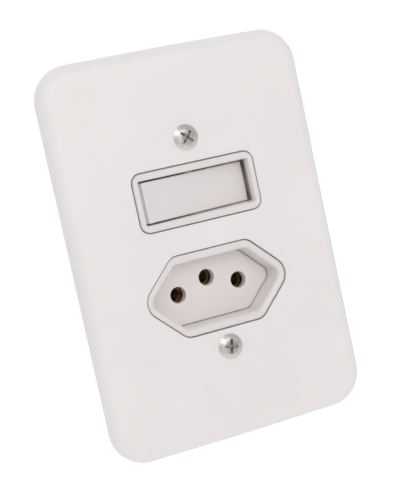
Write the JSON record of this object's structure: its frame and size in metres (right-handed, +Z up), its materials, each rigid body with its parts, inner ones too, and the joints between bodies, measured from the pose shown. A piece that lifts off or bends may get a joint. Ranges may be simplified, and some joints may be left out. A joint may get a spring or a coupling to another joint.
{
  "type": "switch and socket combination",
  "caption": "Upright white wall plate with a tilting rocker switch above a six-sided recessed socket for round pins, on a steel yoke with switch and socket bodies behind.",
  "frame": {"origin": "midway between the two box screws, on the wall plane, which is the rear face of the yoke and of the cover plate's rim", "axes": "+Z up the wall, +Y into the wall, +X to the right as seen from the front, which faces -Y"},
  "size_m": [0.0782, 0.0301, 0.1128],
  "materials": {
    "white_plastic": "smooth, slightly glossy",
    "grey_plastic": "moulded, matt",
    "natural_plastic": "moulded, waxy",
    "zinc_steel": "zinc plated",
    "screw_steel": "nickel plated",
    "spring_steel": "bright spring steel",
    "brass": "bright pressed strip",
    "silver": "silver faced rivets"
  },
  "bodies": {
    "housing": {"cover_plate": "white_plastic", "plate_screw_top": "screw_steel", "plate_screw_bottom": "screw_steel", "mounting_yoke": "zinc_steel", "switch_frame": "white_plastic", "common_terminal": "brass", "switched_terminal": "brass", "fixed_contact": "silver", "common_screw": "screw_steel", "switched_screw": "screw_steel", "switch_base": "grey_plastic", "socket_collar": "white_plastic", "socket_core": "white_plastic", "left_contact": "brass", "right_contact": "brass", "earth_contact": "brass", "left_clip": "spring_steel", "right_clip": "spring_steel", "earth_clip": "spring_steel", "left_screw": "screw_steel", "right_screw": "screw_steel", "earth_screw": "screw_steel", "socket_base": "grey_plastic"},
    "rocker": {"rocker": "white_plastic", "plunger_spring": "spring_steel"},
    "plunger": {"rocker_plunger": "natural_plastic"},
    "lever": {"contact_lever": "brass", "moving_contact": "silver"}
  },
  "joints": [
    {"name": "rocker_tilt", "type": "hinge", "parent": "housing", "child": "rocker", "pos_m": [0, -0.0006, 0.0146], "axis": [0, 0, 1], "range_deg": [-15, 0]},
    {"name": "contact_rock", "type": "hinge", "parent": "housing", "child": "lever", "pos_m": [0, 0.00933, 0.0146], "axis": [0, 0, 1], "range_deg": [0, 16.01]},
    {"name": "plunger_slide", "type": "slide", "parent": "rocker", "child": "plunger", "axis": [0.1305, -0.9914, 0], "range_m": [0, 0.0008], "stiffness_N_per_m": 500, "springref_m": -0.001, "deforming": ["plunger_spring"]}
  ],
  "couplings": [
    {"joint": "contact_rock", "follows": "rocker_tilt", "ratio": -1.0667}
  ]
}
